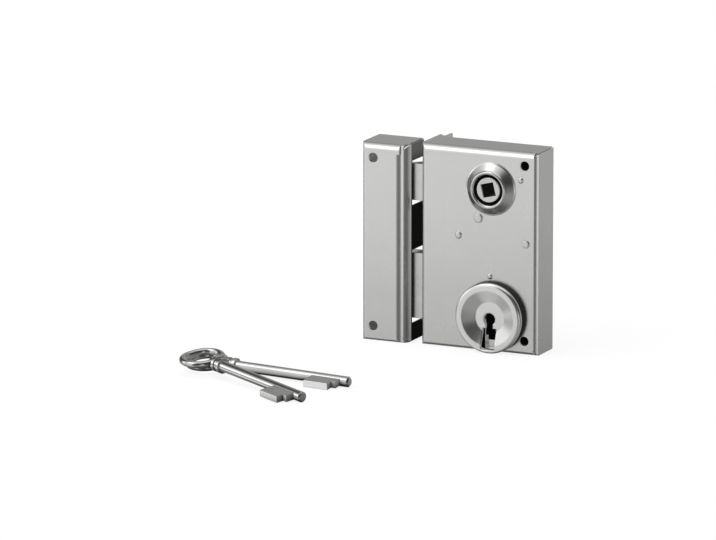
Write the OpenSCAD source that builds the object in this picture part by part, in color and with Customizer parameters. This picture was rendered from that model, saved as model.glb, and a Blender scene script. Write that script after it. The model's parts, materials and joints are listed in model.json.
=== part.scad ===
// Vertical rim box lock with its box keep and two keys, in millimetres.
// X runs from the forend towards the hinge side, Y towards the door, Z up.
// The origin is the corner where the forend, the door face and the underside meet.

/* [Case] */
// Width of the case, from the forend to the right side
case_w = 65; // [64:1:71]
// Height of the case
case_h = 105; // [104:1:112]
// Depth of the case, from the door to its front
case_d = 19; // [18:0.5:22]
// Thickness of the folded sheet
sheet = 1.2; // [1:0.1:1.4]
// Outer radius of the folds
fold_r = 2.6; // [1.8:0.1:4]
// How far the forend's lip laps the door's edge
lip_d = 4.5; // [3:0.5:9]
// How far the tongue beside the lip reaches into the door
tongue_d = 9; // [5:0.5:12]
// Thickness of the back cover
cover_t = 1.5; // [1.2:0.1:2]
// Width of the seams where two folds meet
seam = 0.5; // [0.3:0.1:0.8]

/* [Fixing] */
// Diameter of the screw holes in the case and the keep
screw_hole_d = 5; // [4:0.1:5.5]
// Screw holes of the case, from its right side
screw_in_x = 7.5; // [6:0.5:8]
// Screw holes of the case, from its top and bottom
screw_in_z = 7.2; // [6:0.2:8]

/* [Follower] */
// Follower's axis, from the forend
follower_x = 39; // [38.5:0.5:40.5]
// Follower's axis, below the top
follower_down = 20.5; // [20.5:0.5:22]
// Side of the square hole
square_side = 7; // [6:0.5:8]
// Tilt of the square at rest, in degrees
square_tilt = 14; // [0:1:20]
// Turn that draws the latch in, in degrees
follower_turn = 40; // [30:1:42]
// Diameter of the drawn collar at its foot
collar_d = 27.5; // [25:0.5:30]
// How far the collar stands out
collar_h = 4.6; // [4:0.1:6]
// Diameter of the follower's front journal
journal_d = 15.9; // [15:0.1:16.5]

/* [Key hole] */
// Key's axis, from the forend
key_x = 39.5; // [39:0.5:41]
// Key's axis, above the underside
key_z = 17.5; // [16.5:0.5:18]
// Diameter of the escutcheon
disc_d = 36.5; // [34:0.5:37]
// How far the escutcheon's rim stands out
disc_h = 5.2; // [4:0.2:6]
// Diameter of its flat middle
disc_flat_d = 16; // [14:0.5:18]
// Depth of its dish
dish = 2.6; // [1.5:0.1:2.8]
// Width of the key slot in the escutcheon
key_slot_w = 7.4; // [5:0.2:8]
// Reach of the key's bit from its axis
bit_reach = 11; // [10.5:0.1:11]

/* [Bolts] */
// Thickness of both bolts
bolt_t = 8.4; // [7:0.2:9]
// Height of the latch
latch_h = 19; // [16:0.2:19.4]
// Throw of the latch
latch_throw = 10.5; // [8:0.5:10.5]
// Height of the dead bolt
dead_h = 34; // [33:0.5:35]
// Underside of the dead bolt, above the underside of the case
dead_z = 12.2; // [11.8:0.1:13]
// Throw of the dead bolt
dead_throw = 12; // [10:0.5:12]
// Thickness of the bolts' tails
tail_t = 3; // [2.5:0.1:3.2]

/* [Levers] */
// Thickness of a lever
lever_t = 1.8; // [1.4:0.1:2]
// Lift of the levers over the bolt's throw, in degrees
lever_lift = 8; // [7:0.5:8]
// Diameter of the stump on the dead bolt
stump_d = 4; // [3:0.2:4.2]

/* [Keep] */
// Gap between the forend and the keep
keep_gap = 7; // [6.5:0.5:8]
// Width of the keep
keep_w = 25; // [24:0.5:30]
// Height of the keep
keep_h = 103.2; // [102:0.2:105]
// Depth of the keep, from the door frame to its front
keep_d = 21.2; // [20:0.2:23]
// Radius of the keep's nose
nose_r = 6; // [5:0.5:7]
// Screw holes of the keep, from its left side
keep_hole_x = 6.3; // [5:0.1:7]
// Screw holes of the keep, from its ends
keep_hole_z = 7.8; // [7:0.2:10]

/* [Keys] */
// Length of the shank, from the collar to the tip
shank_l = 64; // [62:1:70]
// Diameter of the shank
shank_d = 5.4; // [5:0.1:5.6]
// Width of the bow
bow_w = 24; // [22:0.5:27]
// Length of the bow
bow_l = 20.5; // [19:0.5:21.5]
// Thickness of the bow's ring
bow_t = 3.4; // [3:0.1:3.8]
// Length of the bit along the shank
bit_l = 16; // [13:0.5:16.5]
// Thickness of the bit
bit_t = 3.4; // [2.6:0.1:3.6]

/* [Hidden] */
$fn = 48;

// Clearances: riveted, running, beside a moving piece, and over the end of a cut
rivet_fit = 0.03;
run_fit = 0.05;
free_fit = 0.3;
over = 1;

// Inside of the case
front_y = -case_d;
inner_front_y = front_y + sheet;
inner_back_y = -cover_t;
follower_z = case_h - follower_down;
bolt_y = (inner_front_y + inner_back_y) / 2 + 0.35;
bolt_front_y = bolt_y - bolt_t / 2;
bolt_back_y = bolt_y + bolt_t / 2;
tail_front_y = bolt_back_y - tail_t;

// Tongue beside the lip, bent down from a root on the top flange
tongue_x = 3.8;
tongue_h = 12;
tongue_root_d = 2.6;

// Posts: place, radius of the head, radius of the post
post_head_h = 0.6;
latch_spring_at = [follower_x - 7, follower_z - 15.7];
lever_spring_at = [21, 59];
lever_pivot_at = [case_w - 6.7, 57.6];
bolt_guide_at = [key_x - 1, disc_d + 2.6];
follower_stop_at = [case_w - 9.7, follower_z + 5.7];
pillar_r = 2.3;
pivot_r = 2.5;
guide_r = 1.7;
stop_r = 1.4;
lever_post_r = 1.6;
screw_r = 1.5;
screw_l = 5;
screw_head_r = 2.8;
screw_head_h = cover_t - 0.2;

// Levers lie in two layers in front of the tails
layer_gap = 0.6;
rear_lever_y = tail_front_y - 0.8 - lever_t;
front_lever_y = rear_lever_y - layer_gap - lever_t;

// Dead bolt: stump at rest, and where the lever sees it half way and at the end
stump_r = stump_d / 2;
gate_fit = 0.5;
pocket_play = 0.6;
lever_wall = 2.2;
lever_swing = 3.1;
head_inside = 1;
head_end_x = sheet + head_inside;
lever_left_x = head_end_x + dead_throw + lever_swing;
stump_at = [lever_left_x + lever_wall + gate_fit + stump_r, dead_z + dead_h - 3.6];
function turned(p, c, a) = [
    c[0] + (p[0] - c[0]) * cos(a) - (p[1] - c[1]) * sin(a),
    c[1] + (p[0] - c[0]) * sin(a) + (p[1] - c[1]) * cos(a)
];
function stump_seen(share) = turned(
    stump_at + [dead_throw * share, 0], lever_pivot_at, lever_lift * share
);
stump_half = stump_seen(0.5);
stump_end = stump_seen(1);
window_r = stump_r + gate_fit;
gate_l = 3;
gate_tilt = atan2(stump_end[1] - stump_at[1], stump_end[0] - stump_at[0]);
belly_z = key_z + bit_reach - (lever_pivot_at[0] - key_x) * sin(lever_lift);
belly_half = 5;
lever_top_z = stump_at[1] + window_r + pocket_play + lever_wall;
lever_low_z = stump_end[1] - window_r - lever_wall;
eye_r = 4.8;
spring_strip = 0.5;
spring_root = [lever_pivot_at[0] - 14, lever_top_z + 1.6];

// Tail of the dead bolt, with the notch that the key's bit works in
dead_tail_x = case_w - sheet - dead_throw - 2.4;
dead_tail_z = key_z + 6.5;
talon_w = 7;
talon_top_z = key_z + bit_reach + 1;
dead_foot_x = 12;
dead_foot_h = 19.4;
dead_end_r = 3;

// Latch: shoulder, tail and lug
latch_drop = 1.4;
latch_z = follower_z - latch_drop - latch_h / 2;
latch_stop_gap = 0.2;
latch_head_end_x = 6;
latch_foot_z = latch_spring_at[1] - 4;
rear_journal_r = 6.25;
hub_r = 9.5;
latch_tail_half = 9.75;
window_half = rear_journal_r + free_fit;
window_left_x = follower_x - window_half - latch_throw;
window_right_x = follower_x + window_half;
latch_tail_x = window_right_x + 2;
nose_flat = 2;
nose_back_x = 1.5;

// Follower: drive arm, stop arm
arm_half = 2;
drive_lean = follower_turn / 2 - 3;
drive_l = latch_throw / (sin(drive_lean) + sin(follower_turn - drive_lean));
arm_front_y = bolt_y - 3.6;
arm_back_y = tail_front_y - 0.8;
drive_tip = [follower_x - drive_l * sin(drive_lean), follower_z + drive_l * cos(drive_lean)];
lug_x = drive_tip[0] + arm_half + 0.25;
lug_w = 3.5;
lug_z = drive_tip[1] - 0.3;
lug_top_z = min(drive_tip[1] + 3.8, case_h - sheet - 0.8);
stop_vector = follower_stop_at - [follower_x, follower_z];
stop_dist = norm(stop_vector);
stop_angle = atan2(stop_vector[1], stop_vector[0]) - asin((arm_half + stop_r + 0.1) / stop_dist);
stop_l = stop_dist + 1;
hub_face_y = front_y - collar_h + 1;
hub_face_r = 6.3;
journal_y = hub_face_y + 2.2;

// Latch spring
wire_d = 0.8;
coil_r = 2.6;
coil_turns = 9;
coil_steps = 8;
coil_sides = 6;
rod_r = 1.3;
flange_r = 3;
flange_t = 1.2;
rod_flange_x = latch_spring_at[0] - pillar_r - flange_t;
coil_x = latch_head_end_x + 0.1;
coil_l = rod_flange_x - 0.1 - coil_x;

// Escutcheon and key slots
disc_r = disc_d / 2;
disc_z = disc_r;
disc_sheet = 1;
disc_rim_r = 1.5;
disc_rim_in_r = 14.4;
pin_hole_r = 3.15;
neck_w = 3.8;
slot_reach = bit_reach + free_fit;
slot_top_z = key_z - 4.8;
slot_low_z = 1.9;
ward_z = slot_top_z - 4.2;
case_slot_w = key_slot_w - 0.6;

// Keep
keep_x = -keep_gap - keep_w;
keep_fold_r = 2;
keep_back_w = 11;
mouth_y = 0.8;
mouth_above = 1.4;
mouth_below = 3;

// Keys: the places of the tips on the floor, and the ways that they point
collar_r = 3.9;
collar_l = 6;
neck_l = 3;
neck_r = 2.2;
tip_l = 4.5;
bit_step_l = 2.5;
bit_step_reach = 7;
floor_fit = 0.05;
lower_tip_at = [7.7, -120.2];
lower_dir = -3.2;
lower_lean = asin((collar_r - shank_d / 2) / shank_l);
upper_tip_at = [0.6, -159.6];
upper_dir = -26.2;
upper_lean = 3.65;
function bit_roll(lean) = asin((shank_d / 2 + tip_l * sin(lean) - bit_t / 2 - floor_fit) / bit_reach);

// Plate in the XZ plane between two depths
module plate(y_front, y_back) {
    translate([0, y_back, 0])
        rotate([90, 0, 0])
            linear_extrude(y_back - y_front)
                children();
}

// Round bar along Y
module bar(at, r, y_front, y_back) {
    translate([at[0], y_back, at[1]])
        rotate([90, 0, 0])
            cylinder(h = y_back - y_front, r = r);
}

// Revolved profile on the front, whose height points out of the lock
module front_turning(at, y) {
    translate([at[0], y, at[1]])
        rotate([90, 0, 0])
            rotate_extrude()
                children();
}

// Plan of a folded box: width along X, open side at Y = 0
module folded_plan(w, d, r_left, r_right) {
    difference() {
        translate([0, -d])
            square([w, d]);
        translate([0, -d])
            square(r_left);
        translate([w - r_right, -d])
            square(r_right);
    }
    translate([r_left, r_left - d])
        circle(r_left);
    translate([w - r_right, r_right - d])
        circle(r_right);
}

// Solid box with folded front edges
module folded_block(w, h, d, r_left, r_right, r_end) {
    intersection() {
        linear_extrude(h)
            folded_plan(w, d, r_left, r_right);
        translate([w, 0, 0])
            rotate([0, -90, 0])
                linear_extrude(w)
                    folded_plan(h, d, r_end, r_end);
    }
}

// Open tray of folded sheet
module folded_tray(w, h, d, r_left, r_right, r_end) {
    difference() {
        folded_block(w, h, d, r_left, r_right, r_end);
        translate([sheet, over, sheet])
            folded_block(
                w - 2 * sheet, h - 2 * sheet, d - sheet + over,
                r_left - sheet, r_right - sheet, r_end - sheet
            );
    }
}

// Slit along a corner edge of a tray, where two folds meet
module corner_slit(x, z, d, angle) {
    translate([x, 0, z])
        rotate([0, angle, 0])
            translate([-3 * sheet, -d - over, -seam / 2])
                cube([6 * sheet, d + 2 * over, seam]);
}

// Riveted post: domed head on the front, shank through the sheet, post inside
module post(at, head_r, r, y_back) {
    dome_r = (head_r * head_r + post_head_h * post_head_h) / (2 * post_head_h);
    intersection() {
        translate([at[0], front_y - post_head_h + dome_r, at[1]])
            sphere(dome_r);
        bar(at, head_r, front_y - post_head_h - over, front_y);
    }
    bar(at, r - 0.4, front_y - 0.1, inner_front_y + 0.1);
    bar(at, r, inner_front_y, y_back);
}

module post_hole(at, r) {
    bar(at, r - 0.4 + rivet_fit, front_y - over, inner_front_y + over);
}

module tapped_hole(at) {
    bar(at, screw_r + rivet_fit, inner_back_y - screw_l, inner_back_y + over);
}

case_screws = [for (z = [screw_in_z, case_h - screw_in_z]) [case_w - screw_in_x, z]];

module collar_profile() {
    mouth_r = journal_d / 2 + run_fit;
    lip = 0.9;
    difference() {
        union() {
            polygon([
                [mouth_r, -sheet],
                [collar_d / 2, -sheet],
                [collar_d / 2, 0.4],
                [collar_d / 2 - 0.8, 0.8],
                [mouth_r + 2 * lip, collar_h - lip],
                [mouth_r + lip, collar_h],
                [mouth_r, collar_h - lip]
            ]);
            translate([mouth_r + lip, collar_h - lip])
                circle(lip);
        }
        translate([mouth_r + 1.6, -sheet - over])
            polygon([
                [0, 0],
                [collar_d / 2 - mouth_r - 2.8, 0],
                [collar_d / 2 - mouth_r - 2.8, over + 0.6],
                [0.6, collar_h - 1.2],
                [0, collar_h - 1.2]
            ]);
    }
}

module case() {
    mouth_r = journal_d / 2 + run_fit;
    color("silver")
        difference() {
            union() {
                folded_tray(case_w, case_h, case_d, fold_r, fold_r, fold_r);
                // Lip of the forend
                translate([0, -over, 0])
                    cube([sheet, lip_d + over, case_h]);
                // Tongue and its root
                translate([0, -over, case_h - sheet])
                    cube([tongue_x + sheet, tongue_root_d + over, sheet]);
                translate([tongue_x, -cover_t, case_h - tongue_h])
                    cube([sheet, cover_t + tongue_d, tongue_h]);
                front_turning([follower_x, follower_z], front_y)
                    collar_profile();
            }
            // Mouth of the collar
            bar([follower_x, follower_z], mouth_r, front_y - over, inner_front_y + over);
            // Key hole behind the escutcheon, with the ward beside the bit
            plate(front_y - over, inner_front_y + over)
                difference() {
                    union() {
                        translate([key_x, key_z])
                            circle(pin_hole_r + 0.4);
                        translate([key_x - case_slot_w / 2, key_z - slot_reach])
                            square([case_slot_w, slot_reach]);
                    }
                    translate([key_x - case_slot_w, key_z - slot_reach - over])
                        square([case_slot_w - bit_t / 2 - free_fit, ward_z - key_z + slot_reach + over]);
                }
            for (at = case_screws)
                bar(at, screw_hole_d / 2, front_y - over, inner_front_y + over);
            post_hole(latch_spring_at, pillar_r);
            post_hole(lever_spring_at, lever_post_r);
            post_hole(lever_pivot_at, pivot_r);
            post_hole(bolt_guide_at, guide_r);
            post_hole(follower_stop_at, stop_r);
            // Windows of the forend
            translate([-over, bolt_front_y - free_fit, latch_z - free_fit])
                cube([sheet + 2 * over, bolt_t + 2 * free_fit, latch_h + 2 * free_fit]);
            translate([-over, bolt_front_y - free_fit, dead_z - free_fit])
                cube([sheet + 2 * over, bolt_t + 2 * free_fit, dead_h + 2 * free_fit]);
            // Seams at the right corners
            corner_slit(case_w, case_h, case_d, -45);
            corner_slit(case_w, 0, case_d, 45);
        }
}

module back_cover() {
    play = 0.15;
    color("lightgray")
        difference() {
            translate([sheet + play, -cover_t, sheet + play])
                cube([case_w - 2 * (sheet + play), cover_t, case_h - 2 * (sheet + play)]);
            // Notch beside the tongue
            translate([0, -cover_t - over, case_h - tongue_h - free_fit])
                cube([tongue_x + sheet + free_fit, cover_t + 2 * over, tongue_h + free_fit]);
            bar([follower_x, follower_z], rear_journal_r + run_fit, -cover_t - over, over);
            plate(-cover_t - over, over) {
                translate([key_x, key_z])
                    circle(pin_hole_r);
                translate([key_x - bit_t / 2 - free_fit, key_z - slot_reach])
                    square([bit_t + 2 * free_fit, slot_reach]);
            }
            for (at = case_screws)
                bar(at, screw_hole_d / 2, -cover_t - over, over);
            for (at = [latch_spring_at, lever_pivot_at]) {
                cover_screw_at(at, rivet_fit);
                bar(at, screw_head_r + rivet_fit, 0, over);
            }
        }
}

// Countersunk screw, or with some play the hole that it sits in
module cover_screw_at(at, play) {
    bar(at, screw_r + play, inner_back_y - screw_l + 0.5, 0);
    translate([at[0], 0, at[1]])
        rotate([90, 0, 0])
            cylinder(h = screw_head_h, r1 = screw_head_r + play, r2 = screw_r + play);
}

module cover_screws() {
    color("gray")
        for (at = [latch_spring_at, lever_pivot_at])
            difference() {
                cover_screw_at(at, 0);
                translate([at[0] - screw_head_r - over, -0.7, at[1] - 0.35])
                    cube([2 * (screw_head_r + over), 0.7 + over, 0.7]);
            }
}

module disc_profile(r, rim_in_r, flat_r, top, rim_r, foot) {
    polygon([
        [0, foot],
        [r, foot],
        [r, top - rim_r],
        [r - rim_r, top],
        [rim_in_r, top],
        [flat_r, top - dish],
        [0, top - dish]
    ]);
    translate([r - rim_r, top - rim_r])
        circle(rim_r);
}

module key_escutcheon() {
    color("gainsboro")
        difference() {
            front_turning([key_x, disc_z], front_y)
                difference() {
                    disc_profile(disc_r, disc_rim_in_r, disc_flat_d / 2, disc_h, disc_rim_r, 0);
                    disc_profile(
                        disc_r - disc_sheet, disc_rim_in_r + 0.3, disc_flat_d / 2 + 0.3,
                        disc_h - disc_sheet, disc_rim_r - disc_sheet, -over
                    );
                }
            plate(front_y - disc_h - over, front_y) {
                translate([key_x, key_z])
                    circle(pin_hole_r);
                translate([key_x - neck_w / 2, slot_low_z])
                    square([neck_w, key_z - slot_low_z]);
                translate([key_x - key_slot_w / 2, slot_low_z])
                    square([key_slot_w, slot_top_z - slot_low_z]);
            }
        }
}

module latch_spring_post() {
    color("silver")
        difference() {
            post(latch_spring_at, 2.5, pillar_r, inner_back_y);
            tapped_hole(latch_spring_at);
            translate([latch_spring_at[0] - pillar_r - over, bolt_y, latch_spring_at[1]])
                rotate([0, 90, 0])
                    cylinder(h = pillar_r + over, r = rod_r + rivet_fit);
        }
}

module lever_spring_post() {
    color("silver")
        post(lever_spring_at, 1.9, lever_post_r, rear_lever_y + lever_t);
}

module lever_pivot() {
    color("silver")
        difference() {
            post(lever_pivot_at, 2.2, pivot_r, inner_back_y);
            tapped_hole(lever_pivot_at);
        }
}

module bolt_guide_stud() {
    color("silver")
        post(bolt_guide_at, 1.5, guide_r, bolt_back_y + 0.4);
}

module follower_stop() {
    color("silver")
        post(follower_stop_at, 1.6, stop_r, arm_back_y + 0.2);
}

module lever_spacers() {
    gap = 0.1;
    spans = [
        [inner_front_y, front_lever_y - gap],
        [front_lever_y + lever_t + gap, rear_lever_y - gap],
        [rear_lever_y + lever_t + gap, inner_back_y - gap]
    ];
    color("gray")
        for (span = spans)
            difference() {
                bar(lever_pivot_at, pivot_r + 1.4, span[0], span[1]);
                bar(lever_pivot_at, pivot_r + run_fit, span[0] - over, span[1] + over);
            }
}

module spring_rod() {
    color("gray")
        translate([head_end_x, bolt_y, latch_spring_at[1]])
            rotate([0, 90, 0]) {
                cylinder(h = latch_spring_at[0] - head_end_x, r = rod_r);
                translate([0, 0, rod_flange_x - head_end_x])
                    cylinder(h = flange_t, r = flange_r);
            }
}

// Middle line of the latch spring: straight ends, one wire thick, and a helix between
coil_count = coil_turns * coil_steps;
coil_points = concat(
    [[0, coil_r, 0]],
    [
        for (i = [0 : coil_count])
            let (a = 360 * i / coil_steps)
                [wire_d + (coil_l - 2 * wire_d) * i / coil_count, coil_r * cos(a), coil_r * sin(a)]
    ],
    [[coil_l, coil_r, 0]]
);
function unit(v) = v / norm(v);
function coil_way(i) =
    i == 0 || i == len(coil_points) - 1
        ? [1, 0, 0]
        : unit(coil_points[i + 1] - coil_points[i - 1]);
function coil_ring(i) =
    let (
        way = coil_way(i),
        out = unit([0, coil_points[i][1], coil_points[i][2]]),
        side = unit(cross(way, out)),
        up = cross(side, way)
    )
        [
            for (k = [0 : coil_sides - 1])
                let (a = 360 * k / coil_sides)
                    coil_points[i] + wire_d / 2 * (cos(a) * up + sin(a) * side)
        ];
coil_gap = min([
    for (i = [0 : coil_count])
        for (j = [i + coil_steps - 2 : coil_count + 1])
            if (j <= coil_count) norm(coil_points[i + 1] - coil_points[j + 1]) - wire_d
]);
echo(latch_spring_least_gap = coil_gap);

module latch_spring() {
    rings = [for (i = [0 : len(coil_points) - 1]) coil_ring(i)];
    last = len(rings) - 1;
    n = coil_sides;
    sides = [
        for (i = [0 : last - 1])
            for (k = [0 : n - 1])
                let (a = i * n + k, b = i * n + (k + 1) % n)
                    each [[a, b, b + n], [a, b + n, a + n]]
    ];
    caps = [
        for (k = [1 : n - 2])
            each [[0, k + 1, k], [last * n, last * n + k, last * n + k + 1]]
    ];
    color("dimgray")
        translate([coil_x, bolt_y, latch_spring_at[1]])
            polyhedron([for (ring = rings) each ring], concat(sides, caps));
}

// Arm of the follower in the XZ plane, along an angle from +X
module arm_outline(angle, length) {
    translate([follower_x, follower_z])
        rotate(angle) {
            translate([0, -arm_half])
                square([length, 2 * arm_half]);
            translate([length, 0])
                circle(arm_half);
        }
}

module follower() {
    axis_at = [follower_x, follower_z];
    color("gainsboro")
        difference() {
            union() {
                bar(axis_at, hub_face_r, hub_face_y, journal_y + 0.1);
                bar(axis_at, journal_d / 2, journal_y, inner_front_y + 0.3);
                bar(axis_at, hub_r, inner_front_y + 0.2, arm_back_y);
                bar(axis_at, rear_journal_r, arm_back_y - 0.1, -0.2);
                plate(arm_front_y, arm_back_y) {
                    arm_outline(90 + drive_lean, drive_l);
                    arm_outline(stop_angle, stop_l);
                }
            }
            plate(hub_face_y - over, over)
                translate([follower_x, follower_z])
                    rotate(square_tilt)
                        square(square_side, center = true);
        }
}

module latch_bolt() {
    color("gainsboro")
        difference() {
            union() {
                // Head, flat in front and bevelled towards the door
                translate([0, 0, latch_z])
                    linear_extrude(latch_h)
                        polygon([
                            [-latch_throw, bolt_front_y],
                            [latch_head_end_x, bolt_front_y],
                            [latch_head_end_x, bolt_back_y],
                            [-nose_back_x, bolt_back_y],
                            [-latch_throw, bolt_front_y + nose_flat]
                        ]);
                // Shoulder behind the forend
                translate([sheet + latch_stop_gap, bolt_front_y, latch_foot_z])
                    cube([
                        latch_head_end_x - sheet - latch_stop_gap,
                        bolt_t,
                        latch_z + latch_h - latch_foot_z
                    ]);
                // Tail and the lug that the drive arm pushes
                plate(tail_front_y, bolt_back_y)
                    union() {
                        translate([latch_head_end_x - over, follower_z - latch_tail_half])
                            square([latch_tail_x - latch_head_end_x + over, 2 * latch_tail_half]);
                        translate([lug_x, follower_z])
                            square([lug_w, lug_top_z - follower_z]);
                    }
                translate([lug_x, arm_front_y, lug_z])
                    cube([lug_w, bolt_back_y - arm_front_y, lug_top_z - lug_z]);
            }
            // Window round the follower
            plate(tail_front_y - over, bolt_back_y + over)
                translate([window_left_x, follower_z - window_half])
                    square([window_right_x - window_left_x, 2 * window_half]);
            // Bore for the spring's rod
            translate([-over, bolt_y, latch_spring_at[1]])
                rotate([0, 90, 0])
                    cylinder(h = latch_head_end_x + 2 * over, r = rod_r + free_fit);
        }
}

// Plan of the dead bolt's head, with its rounded end
module dead_head_plan() {
    end_x = dead_end_r - dead_throw;
    translate([end_x, bolt_front_y])
        square([head_end_x - end_x, bolt_t]);
    translate([-dead_throw, bolt_front_y + dead_end_r])
        square([head_end_x + dead_throw, bolt_t - 2 * dead_end_r]);
    for (y = [bolt_front_y + dead_end_r, bolt_back_y - dead_end_r])
        translate([end_x, y])
            circle(dead_end_r);
}

module dead_bolt() {
    talon_x = key_x - dead_throw / 2 - talon_w / 2;
    color("gainsboro")
        difference() {
            union() {
                translate([0, 0, dead_z])
                    linear_extrude(dead_h)
                        dead_head_plan();
                translate([0, bolt_front_y, dead_z])
                    cube([dead_foot_x, bolt_t, dead_foot_h]);
                plate(tail_front_y, bolt_back_y)
                    translate([0, dead_tail_z])
                        square([dead_tail_x, dead_z + dead_h - 0.6 - dead_tail_z]);
            }
            // Notch that the bit pushes
            plate(tail_front_y - over, bolt_back_y + over)
                translate([talon_x, dead_tail_z - over])
                    square([talon_w, talon_top_z - dead_tail_z + over]);
            // Slot round the guide stud
            plate(tail_front_y - over, bolt_back_y + over) {
                for (x = [bolt_guide_at[0], bolt_guide_at[0] - dead_throw])
                    translate([x, bolt_guide_at[1]])
                        circle(guide_r + free_fit);
                translate([bolt_guide_at[0] - dead_throw, bolt_guide_at[1] - guide_r - free_fit])
                    square([dead_throw, 2 * (guide_r + free_fit)]);
            }
            bar(stump_at, stump_r - 0.5 + rivet_fit, tail_front_y - over, bolt_back_y + over);
        }
}

module bolt_stump() {
    color("silver") {
        bar(stump_at, stump_r - 0.5, tail_front_y - 0.1, bolt_back_y);
        bar(stump_at, stump_r, front_lever_y - 0.4, tail_front_y);
    }
}

// Outline of a lever without its pivot eye
module lever_outline() {
    polygon([
        [lever_left_x, lever_low_z],
        [lever_left_x, lever_top_z],
        [spring_root[0] - 4, lever_top_z],
        [spring_root[0], spring_root[1]],
        lever_pivot_at + [-1, eye_r - 0.6],
        lever_pivot_at + [eye_r - 0.6, -1],
        [key_x + belly_half + 5, belly_z + 5],
        [key_x + belly_half, belly_z],
        [key_x - belly_half, belly_z],
        [key_x - belly_half - 5, lever_low_z]
    ]);
}

// Openings of a lever: pockets and gate of the stump, slot of the stud, socket of the spring
module lever_openings() {
    pocket_top_z = stump_at[1] + window_r + pocket_play;
    translate([stump_at[0] - window_r, stump_half[1] - window_r])
        square([
            stump_half[0] - gate_l / 2 - stump_at[0] + window_r,
            pocket_top_z - stump_half[1] + window_r
        ]);
    translate(stump_half)
        rotate(gate_tilt)
            square([gate_l + 2 * stump_d, 2 * window_r], center = true);
    translate([stump_half[0] + gate_l / 2, stump_end[1] - window_r])
        square([
            stump_end[0] + window_r - stump_half[0] - gate_l / 2,
            pocket_top_z - stump_end[1] + window_r
        ]);
    for (share = [0 : 0.25 : 1])
        translate(turned(bolt_guide_at, lever_pivot_at, lever_lift * share))
            circle(guide_r + pocket_play);
    translate(spring_root + [0.6, -3])
        square([spring_strip + 0.1, 6]);
}

module lever(y_front) {
    y_back = y_front + lever_t;
    color("burlywood")
        difference() {
            union() {
                plate(y_front, y_back)
                    lever_outline();
                bar(lever_pivot_at, eye_r, y_front, y_back);
            }
            bar(lever_pivot_at, pivot_r + run_fit, y_front - over, y_back + over);
            plate(y_front - over, y_back + over)
                lever_openings();
        }
}

module front_lever() {
    lever(front_lever_y);
}

module rear_lever() {
    lever(rear_lever_y);
}

// Leaf spring: a foot in the lever's socket and a blade up to the post
module lever_leaf(y_front) {
    edge = 0.2;
    root = spring_root + [0.65, 0];
    tip = lever_spring_at + [-1, -lever_post_r - 0.1];
    color("dimgray")
        plate(y_front + edge, y_front + lever_t - edge)
            polygon([
                root + [0, -2.9],
                root + [spring_strip, -2.9],
                root + [spring_strip, 1.4],
                tip,
                tip + [0, -spring_strip],
                root + [0, 1.4 - spring_strip]
            ]);
}

module front_lever_spring() {
    lever_leaf(front_lever_y);
}

module rear_lever_spring() {
    lever_leaf(rear_lever_y);
}

module keep() {
    keep_screws = [for (z = [keep_hole_z, keep_h - keep_hole_z]) [keep_x + keep_hole_x, z]];
    color("silver")
        difference() {
            union() {
                translate([keep_x, 0, 0])
                    folded_tray(keep_w, keep_h, keep_d, keep_fold_r, nose_r, keep_fold_r);
                // Flange against the door frame
                translate([keep_x, -sheet, 0])
                    cube([keep_back_w, sheet, keep_h]);
            }
            for (at = keep_screws)
                bar(at, screw_hole_d / 2, -keep_d - over, over);
            keep_mouth(latch_z, latch_h);
            keep_mouth(dead_z, dead_h);
            translate([keep_x, 0, 0])
                corner_slit(keep_w, keep_h, keep_d, -45);
            translate([keep_x, 0, 0])
                corner_slit(keep_w, 0, keep_d, 45);
        }
}

// Mouth in the keep's side for a bolt, open towards the door frame
module keep_mouth(z, h) {
    translate([-keep_gap - sheet - over, bolt_front_y - mouth_y, z - mouth_below])
        cube([sheet + 2 * over, over + mouth_y - bolt_front_y, h + mouth_below + mouth_above]);
}

// Key along +X from its collar at the origin, bit towards -Y
module key_body() {
    ring_r = bow_t / 2;
    end_r = bow_l / 2 - ring_r;
    straight = bow_w - bow_l;
    bow_x = -collar_l - neck_l - bow_l / 2 + ring_r;
    // Bow: two half rings and two straight sides
    translate([bow_x, 0, 0]) {
        for (side = [0, 1])
            rotate(180 * side)
                translate([0, straight / 2, 0])
                    rotate_extrude(angle = 180)
                        translate([end_r, 0])
                            circle(ring_r);
        for (x = [-end_r, end_r])
            translate([x, straight / 2, 0])
                rotate([90, 0, 0])
                    cylinder(h = straight, r = ring_r);
    }
    // Collar, neck and shank in one turning
    rotate([0, 90, 0])
        rotate_extrude() {
            translate([0, -collar_l - neck_l - ring_r / 2])
                square([neck_r, collar_l + neck_l + ring_r]);
            for (z = [-collar_l + 1, -1.2])
                translate([0, z - 0.9])
                    square([collar_r, 1.8]);
            translate([0, -collar_l])
                square([collar_r - 0.7, collar_l]);
            square([shank_d / 2, shank_l - 0.8]);
            polygon([
                [0, shank_l - 0.9],
                [shank_d / 2, shank_l - 0.9],
                [shank_d / 2, shank_l - 0.8],
                [shank_d / 2 - 0.8, shank_l],
                [0, shank_l]
            ]);
        }
    // Bit, with its lower step towards the tip
    bit_x = shank_l - tip_l - bit_l;
    translate([bit_x, 0, -bit_t / 2])
        linear_extrude(bit_t)
            polygon([
                [0, 0],
                [bit_l, 0],
                [bit_l, -bit_step_reach],
                [bit_l - bit_step_l, -bit_step_reach],
                [bit_l - bit_step_l, -bit_reach],
                [0, -bit_reach]
            ]);
}

// Key with its tip and the edge of its bit on the floor
module laid_key(tip_at, dir, lean) {
    color("silver")
        translate([tip_at[0], tip_at[1], shank_d / 2 * cos(lean)])
            rotate([0, 0, dir])
                rotate([0, lean, 0])
                    rotate([bit_roll(lean), 0, 0])
                        translate([-shank_l, 0, 0])
                            key_body();
}

module lower_key() {
    laid_key(lower_tip_at, lower_dir, lower_lean);
}

module upper_key() {
    laid_key(upper_tip_at, upper_dir, upper_lean);
}

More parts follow.
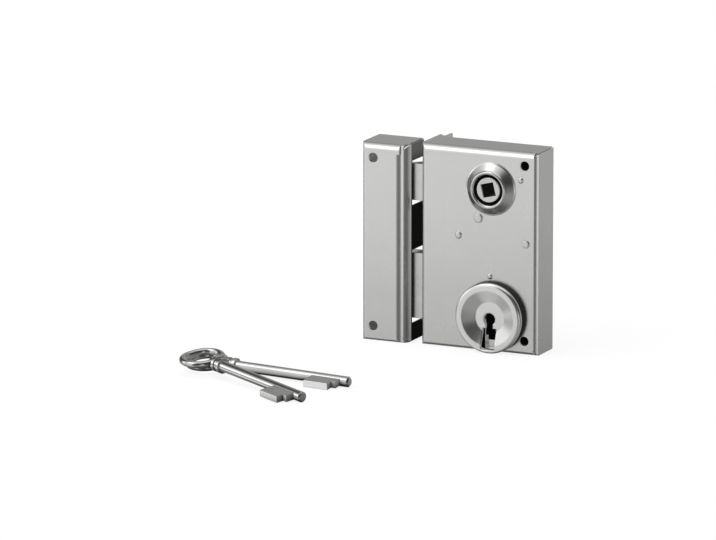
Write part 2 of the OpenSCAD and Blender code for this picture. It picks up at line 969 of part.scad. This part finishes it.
case();
back_cover();
key_escutcheon();
latch_spring_post();
lever_spring_post();
lever_pivot();
bolt_guide_stud();
follower_stop();
cover_screws();
lever_spacers();
spring_rod();
latch_spring();
follower();
latch_bolt();
dead_bolt();
bolt_stump();
front_lever();
rear_lever();
front_lever_spring();
rear_lever_spring();
keep();
lower_key();
upper_key();
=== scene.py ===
import json
import math

import bpy
from mathutils import Matrix, Vector


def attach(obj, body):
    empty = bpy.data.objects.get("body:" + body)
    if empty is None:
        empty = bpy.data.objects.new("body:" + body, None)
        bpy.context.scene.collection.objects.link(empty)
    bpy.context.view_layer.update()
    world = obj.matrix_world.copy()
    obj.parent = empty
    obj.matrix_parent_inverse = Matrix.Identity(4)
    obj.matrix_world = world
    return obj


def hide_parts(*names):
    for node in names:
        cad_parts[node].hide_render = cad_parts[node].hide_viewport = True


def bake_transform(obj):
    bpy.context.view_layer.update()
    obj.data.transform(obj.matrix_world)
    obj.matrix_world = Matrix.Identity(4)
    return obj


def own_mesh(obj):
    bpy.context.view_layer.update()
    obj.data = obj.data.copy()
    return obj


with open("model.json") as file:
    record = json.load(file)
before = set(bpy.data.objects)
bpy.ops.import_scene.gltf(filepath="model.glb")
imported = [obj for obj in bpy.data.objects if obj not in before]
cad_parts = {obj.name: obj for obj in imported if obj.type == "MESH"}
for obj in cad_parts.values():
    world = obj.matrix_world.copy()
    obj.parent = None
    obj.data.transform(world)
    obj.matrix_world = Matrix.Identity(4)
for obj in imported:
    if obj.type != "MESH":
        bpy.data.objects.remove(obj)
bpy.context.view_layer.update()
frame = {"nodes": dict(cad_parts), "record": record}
nodes = frame["nodes"]
print("frame loaded with", len(nodes), "nodes")


def grey(level):
    return (level, level, level, 1.0)


class Wire:
    # a socket that takes part in sums; Wire(tree) alone starts a new tree
    def __init__(self, tree, socket=None):
        self.tree = tree
        self.socket = socket

    def node(self, kind, settings=None, inputs=None, out=0):
        made = self.tree.nodes.new(kind)
        for name, value in (settings or {}).items():
            if name == "stops":  # position and colour of each stop of a ramp
                ramp = made.color_ramp
                while len(ramp.elements) < len(value):
                    ramp.elements.new(0.5)
                for element, (place, colour) in zip(ramp.elements, value):
                    element.position = place
                    element.color = colour
            else:
                setattr(made, name, value)
        for name, value in (inputs or {}).items():
            if isinstance(value, Wire):
                self.tree.links.new(value.socket, made.inputs[name])
            else:
                made.inputs[name].default_value = value
        return Wire(self.tree, made.outputs[out])

    def math(self, operation, first, second=0.0):
        return self.node("ShaderNodeMath", {"operation": operation}, {0: first, 1: second})

    def __add__(self, other):
        return self.math("ADD", self, other)

    def __radd__(self, other):
        return self.math("ADD", other, self)

    def __sub__(self, other):
        return self.math("SUBTRACT", self, other)

    def __rsub__(self, other):
        return self.math("SUBTRACT", other, self)

    def __mul__(self, other):
        return self.math("MULTIPLY", self, other)

    def __rmul__(self, other):
        return self.math("MULTIPLY", other, self)

    def __truediv__(self, other):
        return self.math("DIVIDE", self, other)

    def least(self, other):
        return self.math("MINIMUM", self, other)

    def most(self, other):
        return self.math("MAXIMUM", self, other)

    def below(self, limit):
        return self.math("LESS_THAN", self, limit)

    def above(self, limit):
        return self.math("GREATER_THAN", self, limit)

    def unsigned(self):
        return self.math("ABSOLUTE", self)

    def root(self):
        return self.math("SQRT", self)

    def stepped(self, low, high):  # 0 below low, 1 above high, smooth between
        return self.node(
            "ShaderNodeMapRange", {"interpolation_type": "SMOOTHSTEP"},
            {"Value": self, "From Min": low, "From Max": high},
        )

    def around(self, place, blur):  # the same step, with its middle at a place
        return self.stepped(place - blur, place + blur)

    def tinted(self, dark, light):  # colour between two colours
        return self.node("ShaderNodeMix", {"data_type": "RGBA"}, {0: self, 6: dark, 7: light}, 2)

    def turned(self, first, second):  # direction between two directions
        return self.node("ShaderNodeMix", {"data_type": "VECTOR"}, {0: self, 4: first, 5: second}, 1)

    def towards(self, way):  # how far a direction points along another
        return self.node("ShaderNodeVectorMath", {"operation": "DOT_PRODUCT"}, {0: self, 1: way}, "Value")

    def beside(self, name):  # another output of the same node
        return Wire(self.tree, self.socket.node.outputs[name])

    def parts(self):  # x, y and z of a vector
        split = self.node("ShaderNodeSeparateXYZ", inputs={0: self})
        return split, split.beside(1), split.beside(2)


def newMaterial(name):
    material = bpy.data.materials.new(name)
    material.use_nodes = True
    tree = material.node_tree
    shader = next(n for n in tree.nodes if n.type == "BSDF_PRINCIPLED")
    return material, Wire(tree), shader


def feed(wires, shader, **inputs):
    names = {"colour": "Base Color", "rough": "Roughness", "metal": "Metallic", "normal": "Normal"}
    for key, value in inputs.items():
        socket = shader.inputs[names[key]]
        if isinstance(value, Wire):
            wires.tree.links.new(value.socket, socket)
        else:
            socket.default_value = value


# camera: fitted on the corners of the case and the keep
cameraLook = {
    "target": (0.035, -0.009, 0.052),
    "targetPixel": (491.76, 247.13),
    "yaw": 24.11,
    "elevation": 12.36,
    "distance": 4.0,
    "focalPixels": 7882.0,
    "imageSize": (716, 540),
    "sensorWidth": 36.0,
    "clipEnd": 50.0,
    "aimPasses": 10,
}


def cameraAxes(yaw, pitch):
    right = Vector((math.cos(yaw), math.sin(yaw), 0.0))
    back = Vector((
        math.sin(yaw) * math.cos(pitch), -math.cos(yaw) * math.cos(pitch), math.sin(pitch)
    ))
    return right, back.cross(right), back


def addCamera(look):
    yaw, pitch = math.radians(look["yaw"]), math.radians(look["elevation"])
    target = Vector(look["target"])
    place = target + look["distance"] * cameraAxes(yaw, pitch)[2]
    width, height = look["imageSize"]
    pixelX, pixelY = look["targetPixel"]
    for turn in range(look["aimPasses"]):  # turn the camera until the target lands on its pixel
        right, up, back = cameraAxes(yaw, pitch)
        ray = target - place
        depth = -ray.dot(back)
        yaw -= ray.dot(right) / depth - (pixelX - width / 2) / look["focalPixels"]
        pitch -= ray.dot(up) / depth - (height / 2 - pixelY) / look["focalPixels"]
    right, up, back = cameraAxes(yaw, pitch)
    data = bpy.data.cameras.new("photoCamera")
    data.sensor_fit = "HORIZONTAL"
    data.sensor_width = look["sensorWidth"]
    data.lens = look["focalPixels"] * look["sensorWidth"] / width
    data.clip_end = look["clipEnd"]
    camera = bpy.data.objects.new("photoCamera", data)
    bpy.context.scene.collection.objects.link(camera)
    turned = Matrix((right, up, back)).transposed().to_4x4()
    camera.matrix_world = Matrix.Translation(place) @ turned
    bpy.context.scene.camera = camera


addCamera(cameraLook)
print("camera placed")

# studio: pale floor and a big lamp overhead; bright and dark cards stand round the lock in three
# rows, given by their direction in degrees from the front towards the right, and three soft boxes
# light the left; "bands" are the heights of a direction over which one row gives way to the next
studioLook = {
    "floorSize": 6.0,
    "floorCuts": 4,
    "floorColour": (0.86, 0.86, 0.855, 1.0),
    "floorWhite": 0.88,
    "floorFade": (0.25, 0.7),
    "floorMirror": 0.92,
    # painted shade in the floor as metal sees it: darkest at the lock, fading out over this distance
    "floorNearShade": 0.70,
    "floorNearFade": (0.0, 0.45),
    "highCards": (
        (-180, 0.38), (-150, 0.38), (-136, 0.10), (-98, 0.10), (-84, 0.85), (-22, 0.95), (-10, 0.10),
        (22, 0.06), (34, 0.12), (44, 0.06), (56, 0.03), (105, 0.08), (135, 0.38), (180, 0.38),
    ),
    "lowCards": (
        (-180, 0.34), (-120, 0.30), (-98, 0.32), (-80, 0.36), (-66, 0.46), (-54, 0.86), (-42, 0.95),
        (-21, 0.97), (-13, 0.10), (20, 0.07), (29, 0.80), (37, 1.4), (47, 1.2), (55, 0.08),
        (94, 0.08), (112, 0.36), (140, 0.48), (180, 0.38),
    ),
    "deepCards": (
        (-180, 0.34), (-120, 0.40), (-66, 0.46), (-42, 0.94), (-21, 0.97), (-8, 0.40), (40, 0.34),
        (112, 0.34), (140, 0.40), (180, 0.38),
    ),
    "bands": {"top": (0.74, 0.92), "high": (-0.08, 0.14), "low": (-0.42, -0.26), "under": (-0.97, -0.7)},
    "roomTop": 0.9,
    "underDark": 0.06,
    "diffuseLevel": 1.2,
    "softBoxes": (
        {"way": (-0.395, -0.454, 0.799), "inner": 7.0, "outer": 23.0, "level": 1.2},
        {"way": (-0.941, -0.217, 0.259), "inner": 5.0, "outer": 14.0, "level": 1.2},
        {"way": (-0.925, -0.163, -0.342), "inner": 4.0, "outer": 12.0, "level": 1.2},
    ),
    "overhead": {"place": (-0.35, -0.25, 1.1), "aim": (0.0, 0.0, 0.05), "size": (1.5, 1.5), "power": 13.0},
}


def cardLevel(wires, sidewards, frontwards, cards):
    share = wires.math("ARCTAN2", sidewards, frontwards) / math.tau + 0.5
    stops = [(degrees / 360 + 0.5, grey(level)) for degrees, level in cards]
    return wires.node("ShaderNodeValToRGB", {"stops": stops}, {"Fac": share})


def addLamp(name, look):
    data = bpy.data.lights.new(name, "AREA")
    data.shape = "RECTANGLE"
    data.size, data.size_y = look["size"]
    data.energy = look["power"]
    lamp = bpy.data.objects.new(name, data)
    lamp.visible_glossy = False
    bpy.context.scene.collection.objects.link(lamp)
    place = Vector(look["place"])
    aim = Vector(look["aim"]) - place
    lamp.matrix_world = Matrix.Translation(place) @ aim.to_track_quat("-Z", "Y").to_matrix().to_4x4()


def addRoom(look):
    world = bpy.data.worlds.new("studioRoom")
    bpy.context.scene.world = world
    world.use_nodes = True
    tree = world.node_tree
    tree.nodes.clear()
    wires = Wire(tree)
    way = wires.node("ShaderNodeTexCoord", out="Generated")
    sidewards, depth, height = way.parts()
    high, low, deep = (
        cardLevel(wires, sidewards, 0.0 - depth, look[row]) for row in ("highCards", "lowCards", "deepCards")
    )
    share = {band: height.stepped(*span) for band, span in look["bands"].items()}
    level = deep + (low - deep) * share["low"]
    level = level + (high - level) * share["high"]
    level = level + (look["roomTop"] - level) * share["top"]
    for box in look["softBoxes"]:
        outer, inner = (math.cos(math.radians(box[name])) for name in ("outer", "inner"))
        level = level + way.towards(box["way"]).stepped(outer, inner) * box["level"]
    level = look["underDark"] + (level - look["underDark"]) * share["under"]
    rays = wires.node("ShaderNodeLightPath", out="Is Camera Ray")
    glossy = rays.beside("Is Glossy Ray")
    seen = (rays + rays.beside("Is Transmission Ray")).least(1.0)
    dim = level * (glossy + (1.0 - glossy) * look["diffuseLevel"])
    strength = seen + (1.0 - seen) * dim
    ground = wires.node("ShaderNodeBackground", inputs={"Color": strength, "Strength": 1.0})
    tree.links.new(ground.socket, tree.nodes.new("ShaderNodeOutputWorld").inputs["Surface"])


def addFloor(look):
    bpy.ops.object.select_all(action="DESELECT")
    bpy.ops.mesh.primitive_plane_add(size=look["floorSize"], location=(0.0, 0.0, 0.0))
    floor = bpy.context.object
    floor.name = "paleFloor"
    bpy.ops.object.mode_set(mode="EDIT")
    bpy.ops.mesh.subdivide(number_cuts=look["floorCuts"])
    bpy.ops.object.mode_set(mode="OBJECT")
    material = bpy.data.materials.new("paleFloor")
    material.use_nodes = True
    tree = material.node_tree
    tree.nodes.clear()
    wires = Wire(tree)
    point = wires.node("ShaderNodeTexCoord", out="Object")
    far = wires.node("ShaderNodeVectorMath", {"operation": "LENGTH"}, {0: point}, out="Value")
    rays = wires.node("ShaderNodeLightPath", out="Is Camera Ray")
    glossy = rays.beside("Is Glossy Ray")
    share = look["floorWhite"] + (1.0 - look["floorWhite"]) * far.stepped(*look["floorFade"])
    # painted shade: the floor that metal sees is darkened near the lock, where its shade would be
    near = look["floorNearShade"] + (1.0 - look["floorNearShade"]) * far.stepped(*look["floorNearFade"])
    matt = wires.node("ShaderNodeBsdfDiffuse", inputs={"Color": look["floorColour"]})
    white = wires.node("ShaderNodeEmission", inputs={"Color": grey(1.0), "Strength": 1.0})
    black = wires.node("ShaderNodeEmission", inputs={"Color": grey(0.0), "Strength": 0.0})
    clear = wires.node("ShaderNodeBsdfTransparent")
    seen = wires.node("ShaderNodeMixShader", inputs={0: rays * share, 1: matt, 2: white})
    gloss = wires.node("ShaderNodeMixShader", inputs={0: near, 1: black, 2: clear})  # what metal sees
    whole = wires.node("ShaderNodeMixShader", inputs={0: glossy * look["floorMirror"], 1: seen, 2: gloss})
    tree.links.new(whole.socket, tree.nodes.new("ShaderNodeOutputMaterial").inputs["Surface"])
    floor.data.materials.append(material)


addLamp("overheadLamp", studioLook["overhead"])
addRoom(studioLook)
addFloor(studioLook)
bpy.context.scene.view_settings.view_transform = "Standard"
print("studio ready")

# finishes: every metal of the lock, between a dark and a light tone, with its own grain
finishLook = {
    "plated_sheet": {
        "dark": (0.68, 0.68, 0.665, 1.0), "light": (0.74, 0.74, 0.725, 1.0),
        "rough": 0.26, "grain": 0.02, "bump": 0.0, "edge": 0.0002,
    },
    "pressed_disc": {
        "dark": (0.78, 0.78, 0.77, 1.0), "light": (0.88, 0.88, 0.87, 1.0),
        "rough": 0.22, "grain": 0.02, "bump": 0.0, "edge": 0.0010,
    },
    "rivet_steel": {
        "dark": (0.68, 0.68, 0.67, 1.0), "light": (0.76, 0.76, 0.75, 1.0),
        "rough": 0.28, "grain": 0.04, "bump": 0.01, "edge": 0.0002,
    },
    "bolt_steel": {
        "dark": (0.66, 0.66, 0.65, 1.0), "light": (0.80, 0.80, 0.79, 1.0),
        "rough": 0.30, "grain": 0.08, "bump": 0.02, "edge": 0.0005,
    },
    "spring_steel": {
        "dark": (0.16, 0.16, 0.17, 1.0), "light": (0.36, 0.36, 0.37, 1.0),
        "rough": 0.30, "grain": 0.06, "bump": 0.02, "edge": 0.0001,
    },
    "lever_brass": {
        "dark": (0.50, 0.36, 0.15, 1.0), "light": (0.74, 0.57, 0.28, 1.0),
        "rough": 0.34, "grain": 0.08, "bump": 0.02, "edge": 0.0002,
    },
    "key_nickel": {
        "dark": (0.50, 0.50, 0.49, 1.0), "light": (0.66, 0.66, 0.65, 1.0),
        "rough": 0.15, "grain": 0.04, "bump": 0.02, "edge": 0.0004,
        # painted contact shade on the keys: the colour darkens where metal or floor is this close
        "contactShade": 0.009,  # darker where metal or floor is this close
    },
}
# grain: clouds, strokes of the brush along the height, and fine specks
grainLook = {
    "clouds": {"Scale": 45.0, "Detail": 4.0, "Roughness": 0.6},
    "brush": {"Scale": 1.0, "Detail": 2.0},
    "brushScale": (2600.0, 2600.0, 130.0),
    "fine": {"Scale": 2400.0, "Detail": 3.0},
    "middle": 0.5,  # of every noise
    "cloudSpan": (0.25, 0.75),
    "lowTone": 0.2, "cloudTone": 0.6, "brushTone": 3.0, "fineTone": 2.0,
    "cloudRough": 0.06, "brushRough": 2.0,
    "brushBump": 0.6, "fineBump": 0.4, "bumpDepth": 0.0002,
    "edgeSamples": 6,
    # the painted contact shade of the keys: samples, span and tone
    "contactSamples": 8, "contactSpan": (0.25, 0.75), "contactTone": 0.03,
}

joints = {joint["name"]: joint for joint in frame["record"]["behaviour"]["joints"]}
mounts = {mount["name"]: mount for mount in frame["record"]["mounts"]}
followerAxis = Vector(joints["follower_turn"]["pos_m"])
keyAxis = Vector(mounts["key_way"]["pos_m"])
caseFront = mounts["case_screws"]["pos_m"][1]


def nodeBox(name):
    corners = [Vector(corner) for corner in nodes[name].bound_box]
    return [Vector(f(corner[k] for corner in corners) for k in range(3)) for f in (min, max)]


caseLow, caseHigh = nodeBox("case")
discLow, discHigh = nodeBox("key_escutcheon")
discAxis, discRadius = (discLow + discHigh) / 2, (discHigh.x - discLow.x) / 2
discRim = 0.0003  # width of the escutcheon's rim
# painted shade, put into the colour where shade falls: in the bore of the follower's square and the
# groove round its hub, in the mouth of the collar, inside the closed case and on the back cover, on the
# case's front under the escutcheon, on the escutcheon's outer wall, and on the keep's side in the gap,
# lighter near its top; and a painted highlight on the near faces of the lower key's bit
paintedLightLook = {
    # painted shade in the bore of the square and in the groove round the hub
    "follower": (
        {"kind": "square", "axis": followerAxis, "tilt": 14.0, "half": 0.0036,
         "depth": -0.0221, "blur": 0.0004, "tone": 0.025},
        {"kind": "ring", "axis": followerAxis, "from": 0.0062, "to": 0.0081,
         "depth": -0.0221, "blur": 0.0003, "tone": 0.012},
    ),
    # painted shade on the inner face of the back cover, inside the closed case
    "back_cover": ({"kind": "behind", "depth": -0.0008, "blur": 0.0001, "tone": 0.02},),
    # painted shade on the inside of the closed case, in the mouth of the collar, and on the front under the
    # escutcheon
    "case": (
        {"kind": "inside", "low": caseLow, "high": caseHigh, "front": caseFront,
         "wall": 0.0008, "blur": 0.00008, "tone": 0.02},
        {"kind": "ring", "axis": followerAxis, "from": 0.0, "to": 0.0081,
         "depth": -0.0229, "blur": 0.0003, "tone": 0.02},
        {"kind": "cavity", "axis": keyAxis, "to": 0.0172, "left": -0.0035, "blur": 0.0001, "tone": 0.01},
    ),
    # painted shade on the keep's side in the gap; 'lit' is painted light that takes some of it away near the top
    "keep": (
        {"kind": "side", "left": -0.0078, "depth": -0.0154, "blur": 0.0002,
         "high": 0.1, "fade": 0.013, "lit": 0.45, "tone": 0.025},
    ),
    # painted shade on the escutcheon's outer wall
    "key_escutcheon": (
        {"kind": "ring", "axis": discAxis, "from": discRadius - discRim, "to": 1.0,
         "depth": -0.0223, "blur": 0.0003, "tone": 0.10},
    ),
    # painted highlight: the near faces of the bit turned this way are painted bright and less rough
    "lower_key": (
        {"kind": "facing", "way": (-0.057, -0.994, -0.094), "span": (0.985, 0.995),
         "depth": -0.1285, "tone": 0.98, "rough": 0.25},
    ),
}
# softer bends: the top folds of both trays, the right fold of the case and its drawn collar
softLook = {
    "case": {
        "fold": 0.0052, "foldFacing": (0.2, 0.5),
        "side": 0.0026, "turn": 42.0, "sideEnd": 0.93, "sideFacing": (0.1, 0.3),
        "axis": followerAxis, "to": 0.0112, "inner": 0.95, "edge": 0.0010, "samples": 10,
    },
    "keep": {"fold": 0.0052, "foldFacing": (0.2, 0.5)},
}
# riveted heads are struck nearly flat in front of the case
headLook = {"slot": "rivet_steel", "front": caseFront, "blur": 0.0001, "flat": 0.9, "middle": (0.90, 0.97)}


def facesOf(wires):
    return wires.node("ShaderNodeNewGeometry", out="Normal")


# mask of one place of painted shade; the 'facing' kind marks the place of a painted highlight
def paintedLightMask(wires, point, look):
    across, depth, height = point.parts()
    if look["kind"] == "facing":
        return facesOf(wires).towards(look["way"]).stepped(*look["span"]) * depth.below(look["depth"])
    if look["kind"] == "side":
        lit = look["lit"] * height.stepped(look["high"] - look["fade"], look["high"])
        return across.above(look["left"]) * depth.around(look["depth"], look["blur"]) * (1.0 - lit)
    if look["kind"] == "behind":
        return 1.0 - depth.stepped(look["depth"] - look["blur"], look["depth"])
    if look["kind"] == "inside":
        low, high = look["low"], look["high"]
        aside = (across - low.x).least(high.x - across)
        upright = (height - low.z).least(high.z - height)
        deep = (depth - look["front"]).least(0.0 - depth)
        return aside.least(upright).least(deep).stepped(look["wall"] - look["blur"], look["wall"])
    right, up = across - look["axis"].x, height - look["axis"].z
    if look["kind"] == "square":
        turn = math.radians(look["tilt"])
        along = (right * math.cos(turn) + up * math.sin(turn)).unsigned()
        aside = (up * math.cos(turn) - right * math.sin(turn)).unsigned()
        return along.most(aside).below(look["half"]) * depth.around(look["depth"], look["blur"])
    far = (right * right + up * up).root()
    if look["kind"] == "cavity":
        return far.below(look["to"]) * (1.0 - right.around(look["left"], look["blur"]))
    ring = far.below(look["to"]) * far.above(look["from"])
    return ring * depth.around(look["depth"], look["blur"])


def foldNormal(wires, point, look, top, normal):
    height = point.parts()[2]
    rise = (1.0 - (top - height) / look["fold"]).most(0.0).least(1.0)
    bent = wires.node("ShaderNodeCombineXYZ", inputs={1: 0.0 - (1.0 - rise * rise).root(), 2: rise})
    sidewards = facesOf(wires).parts()[0].unsigned()
    share = rise.above(0.0) * (1.0 - sidewards.stepped(*look["foldFacing"]))
    return share.turned(normal, bent)


def sideNormal(wires, point, look, right, normal):
    across = point.parts()[0]
    bend = 1.0 - (right - across) / look["side"]
    turn = bend * math.radians(look["turn"])
    bent = wires.node(
        "ShaderNodeCombineXYZ", inputs={0: wires.math("SINE", turn), 1: 0.0 - wires.math("COSINE", turn)}
    )
    frontwards = 0.0 - facesOf(wires).parts()[1]
    share = bend.above(0.0) * bend.below(look["sideEnd"]) * frontwards.stepped(*look["sideFacing"])
    return share.turned(normal, bent)


def collarNormal(wires, point, look, normal):
    place = point.parts()
    right, up = place[0] - look["axis"].x, place[2] - look["axis"].z
    share = 1.0 - (right * right + up * up).root().stepped(look["inner"] * look["to"], look["to"])
    soft = wires.node("ShaderNodeBevel", {"samples": look["samples"]}, {"Radius": look["edge"]})
    return share.turned(normal, soft)


def headNormal(wires, point, look, normal):
    depth = point.parts()[1]
    middle = (0.0 - facesOf(wires).parts()[1]).stepped(*look["middle"])
    share = look["flat"] * middle * (1.0 - depth.stepped(look["front"] - look["blur"], look["front"]))
    return share.turned(normal, (0.0, -1.0, 0.0))


def edgeNormal(wires, point, name, slot, edge):
    normal = wires.node("ShaderNodeBevel", {"samples": grainLook["edgeSamples"]}, {"Radius": edge})
    if slot == headLook["slot"]:
        normal = headNormal(wires, point, headLook, normal)
    soft = softLook.get(name, {})
    if "fold" in soft:
        normal = foldNormal(wires, point, soft, nodeBox(name)[1].z, normal)
    if "side" in soft:
        normal = sideNormal(wires, point, soft, nodeBox(name)[1].x, normal)
    if "axis" in soft:
        normal = collarNormal(wires, point, soft, normal)
    return normal


def metalFinish(name, slot, look, grain, shades=()):
    material, wires, shader = newMaterial(name)
    point = wires.node("ShaderNodeTexCoord", out="Object")
    brushPoint = wires.node("ShaderNodeMapping", inputs={"Vector": point, "Scale": grain["brushScale"]})
    clouds, brush, fine = (
        wires.node("ShaderNodeTexNoise", inputs={"Vector": place, **grain[kind]})
        for kind, place in (("clouds", point), ("brush", brushPoint), ("fine", point))
    )
    middle = grain["middle"]
    flecks = (brush - middle) * grain["brushTone"] + (fine - middle) * grain["fineTone"]
    tone = grain["lowTone"] + clouds.stepped(*grain["cloudSpan"]) * grain["cloudTone"] + flecks * look["grain"]
    rough = look["rough"] + (clouds - middle) * grain["cloudRough"]
    rough = rough + (brush - middle) * look["grain"] * grain["brushRough"]
    bump = wires.node("ShaderNodeBump", inputs={
        "Height": brush * grain["brushBump"] + fine * grain["fineBump"],
        "Strength": look["bump"],
        "Distance": grain["bumpDepth"],
        "Normal": edgeNormal(wires, point, name, slot, look["edge"]),
    })
    colour = tone.tinted(look["dark"], look["light"])
    # painted contact shade: ambient occlusion darkens the colour near other metal and the floor
    if "contactShade" in look:
        clear = wires.node(
            "ShaderNodeAmbientOcclusion", {"samples": grain["contactSamples"]}, {"Distance": look["contactShade"]}, "AO"
        )
        colour = clear.stepped(*grain["contactSpan"]).tinted(grey(grain["contactTone"]), colour)
    # painted shade, and on the lower key a painted highlight, laid into the colour place by place
    for shade in shades:
        share = paintedLightMask(wires, point, shade)
        colour = share.tinted(colour, grey(shade["tone"]))
        rough = rough + (shade.get("rough", 1.0) - rough) * share  # matt, unless the shade says
    feed(wires, shader, colour=colour, rough=rough, metal=1.0, normal=bump)
    return material


mirrored = ("keep", "key_escutcheon")  # the rest isn't seen in its neighbours' gloss, as in the photo
finishes = {slot: metalFinish(slot, slot, look, grainLook) for slot, look in finishLook.items()}
for subpart in frame["record"]["subparts"]:
    node, slot = subpart["node"], subpart["material_slot"]
    finish = finishes[slot]
    if node in paintedLightLook:
        finish = metalFinish(node, slot, finishLook[slot], grainLook, paintedLightLook[node])
    shape = nodes[node]
    shape.visible_glossy = node in mirrored
    shape.data.materials.clear()
    shape.data.materials.append(finish)
print("finishes on", len(finishes), "slots")

# latch spring: a coil in the room of its solid
coilLook = {
    "node": "latch_spring",
    "joint": "latch_slide",
    "turns": 9,
    "wire": 0.0008,
    "turnSteps": 24,
    "wireSides": 10,
    "smooth": 50.0,
}


def addCoil(look):
    low, high = nodeBox(look["node"])
    middle, length = (low + high) / 2, high.x - low.x
    ringRadius, wireRadius = (high.z - low.z - look["wire"]) / 2, look["wire"] / 2
    bpy.ops.object.select_all(action="DESELECT")
    bpy.ops.mesh.primitive_circle_add(
        vertices=look["wireSides"], radius=wireRadius, location=(low.x + wireRadius, middle.y, middle.z)
    )
    coil = bpy.context.object
    coil.name = "latchCoil"
    bpy.ops.object.mode_set(mode="EDIT")
    bpy.ops.mesh.select_all(action="SELECT")
    bpy.ops.transform.translate(value=(0.0, ringRadius, 0.0))
    bpy.ops.object.mode_set(mode="OBJECT")
    screw = coil.modifiers.new("coil", "SCREW")
    screw.axis = "X"
    screw.angle = math.tau * look["turns"]
    screw.screw_offset = length - look["wire"]
    screw.steps = screw.render_steps = look["turns"] * look["turnSteps"]
    bpy.ops.object.modifier_apply(modifier=screw.name)
    bpy.ops.object.mode_set(mode="EDIT")
    bpy.ops.mesh.select_all(action="SELECT")
    bpy.ops.mesh.fill_holes(sides=0)  # the cut ends of the wire
    bpy.ops.mesh.select_all(action="SELECT")
    bpy.ops.mesh.normals_make_consistent(inside=False)
    bpy.ops.object.mode_set(mode="OBJECT")
    bpy.ops.object.shade_smooth_by_angle(angle=math.radians(look["smooth"]))
    bpy.ops.object.transform_apply(location=True, rotation=True, scale=True)
    coil.data.materials.append(finishes["spring_steel"])
    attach(coil, "lock_case")
    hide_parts(look["node"])
    throw = joints[look["joint"]]["range_m"][1]
    1.0 - throw / length
    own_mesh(coil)


addCoil(coilLook)
print("latch spring wound")

# lever springs: an upright foot, folded into a blade that rises to its tip
leafLook = {
    "leaves": (
        ("frontLeaf", "front_lever_spring", "front_lever"),
        ("rearLeaf", "rear_lever_spring", "rear_lever"),
    ),
    "strip": 0.0005,  # thickness of the blade
    "foot": 0.0043,  # height of the foot, up to the fold
    "still": 0.0035,  # length at the tip that stays in place
    "steps": 18,
}


def pickCorners(shape, wanted):  # in object mode: wanted corners, and the faces between them
    for corner in shape.data.vertices:
        corner.select = wanted(corner.co)
    for side in shape.data.polygons:
        side.select = all(shape.data.vertices[k].select for k in side.vertices)


def addLeaf(name, node, look):
    low, high = nodeBox(node)
    strip, foldHeight = look["strip"], low.z + look["foot"]
    footLeft, footMiddle = high.x - strip, high.x - strip / 2
    middleDepth, middleHeight = (low.y + high.y) / 2, (low.z + foldHeight) / 2
    bpy.ops.object.select_all(action="DESELECT")
    bpy.ops.mesh.primitive_cube_add(
        size=1.0,
        location=(footMiddle, middleDepth, middleHeight),
        scale=(strip, high.y - low.y, look["foot"]),
    )
    leaf = bpy.context.object
    leaf.name = name
    bpy.ops.object.transform_apply(location=True, rotation=True, scale=True)
    bpy.ops.object.mode_set(mode="EDIT")
    bpy.ops.mesh.select_mode(type="VERT")
    bpy.ops.mesh.select_all(action="DESELECT")
    bpy.ops.object.mode_set(mode="OBJECT")
    pickCorners(leaf, lambda place: place.z > middleHeight and place.x < footMiddle)
    bpy.ops.object.mode_set(mode="EDIT")
    bpy.ops.transform.translate(value=(0.0, 0.0, -strip))  # mitre of the fold
    bpy.ops.object.mode_set(mode="OBJECT")
    pickCorners(leaf, lambda place: place.z > middleHeight)
    bpy.ops.object.mode_set(mode="EDIT")
    bpy.ops.mesh.select_mode(type="FACE")
    stride = Vector((low.x - footLeft, 0.0, high.z - foldHeight)) / look["steps"]
    for step in range(look["steps"]):
        bpy.ops.mesh.extrude_region_move(TRANSFORM_OT_translate={"value": stride})
    bpy.ops.mesh.select_all(action="SELECT")
    bpy.ops.mesh.normals_make_consistent(inside=False)
    bpy.ops.mesh.sort_elements(type="CURSOR_DISTANCE", elements={"VERT", "EDGE", "FACE"})  # same order each run
    bpy.ops.object.mode_set(mode="OBJECT")
    leaf.data.materials.append(finishes["spring_steel"])
    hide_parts(node)
    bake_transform(leaf)


for name, node, lever in leafLook["leaves"]:
    addLeaf(name, node, leafLook)
print("lever springs folded")
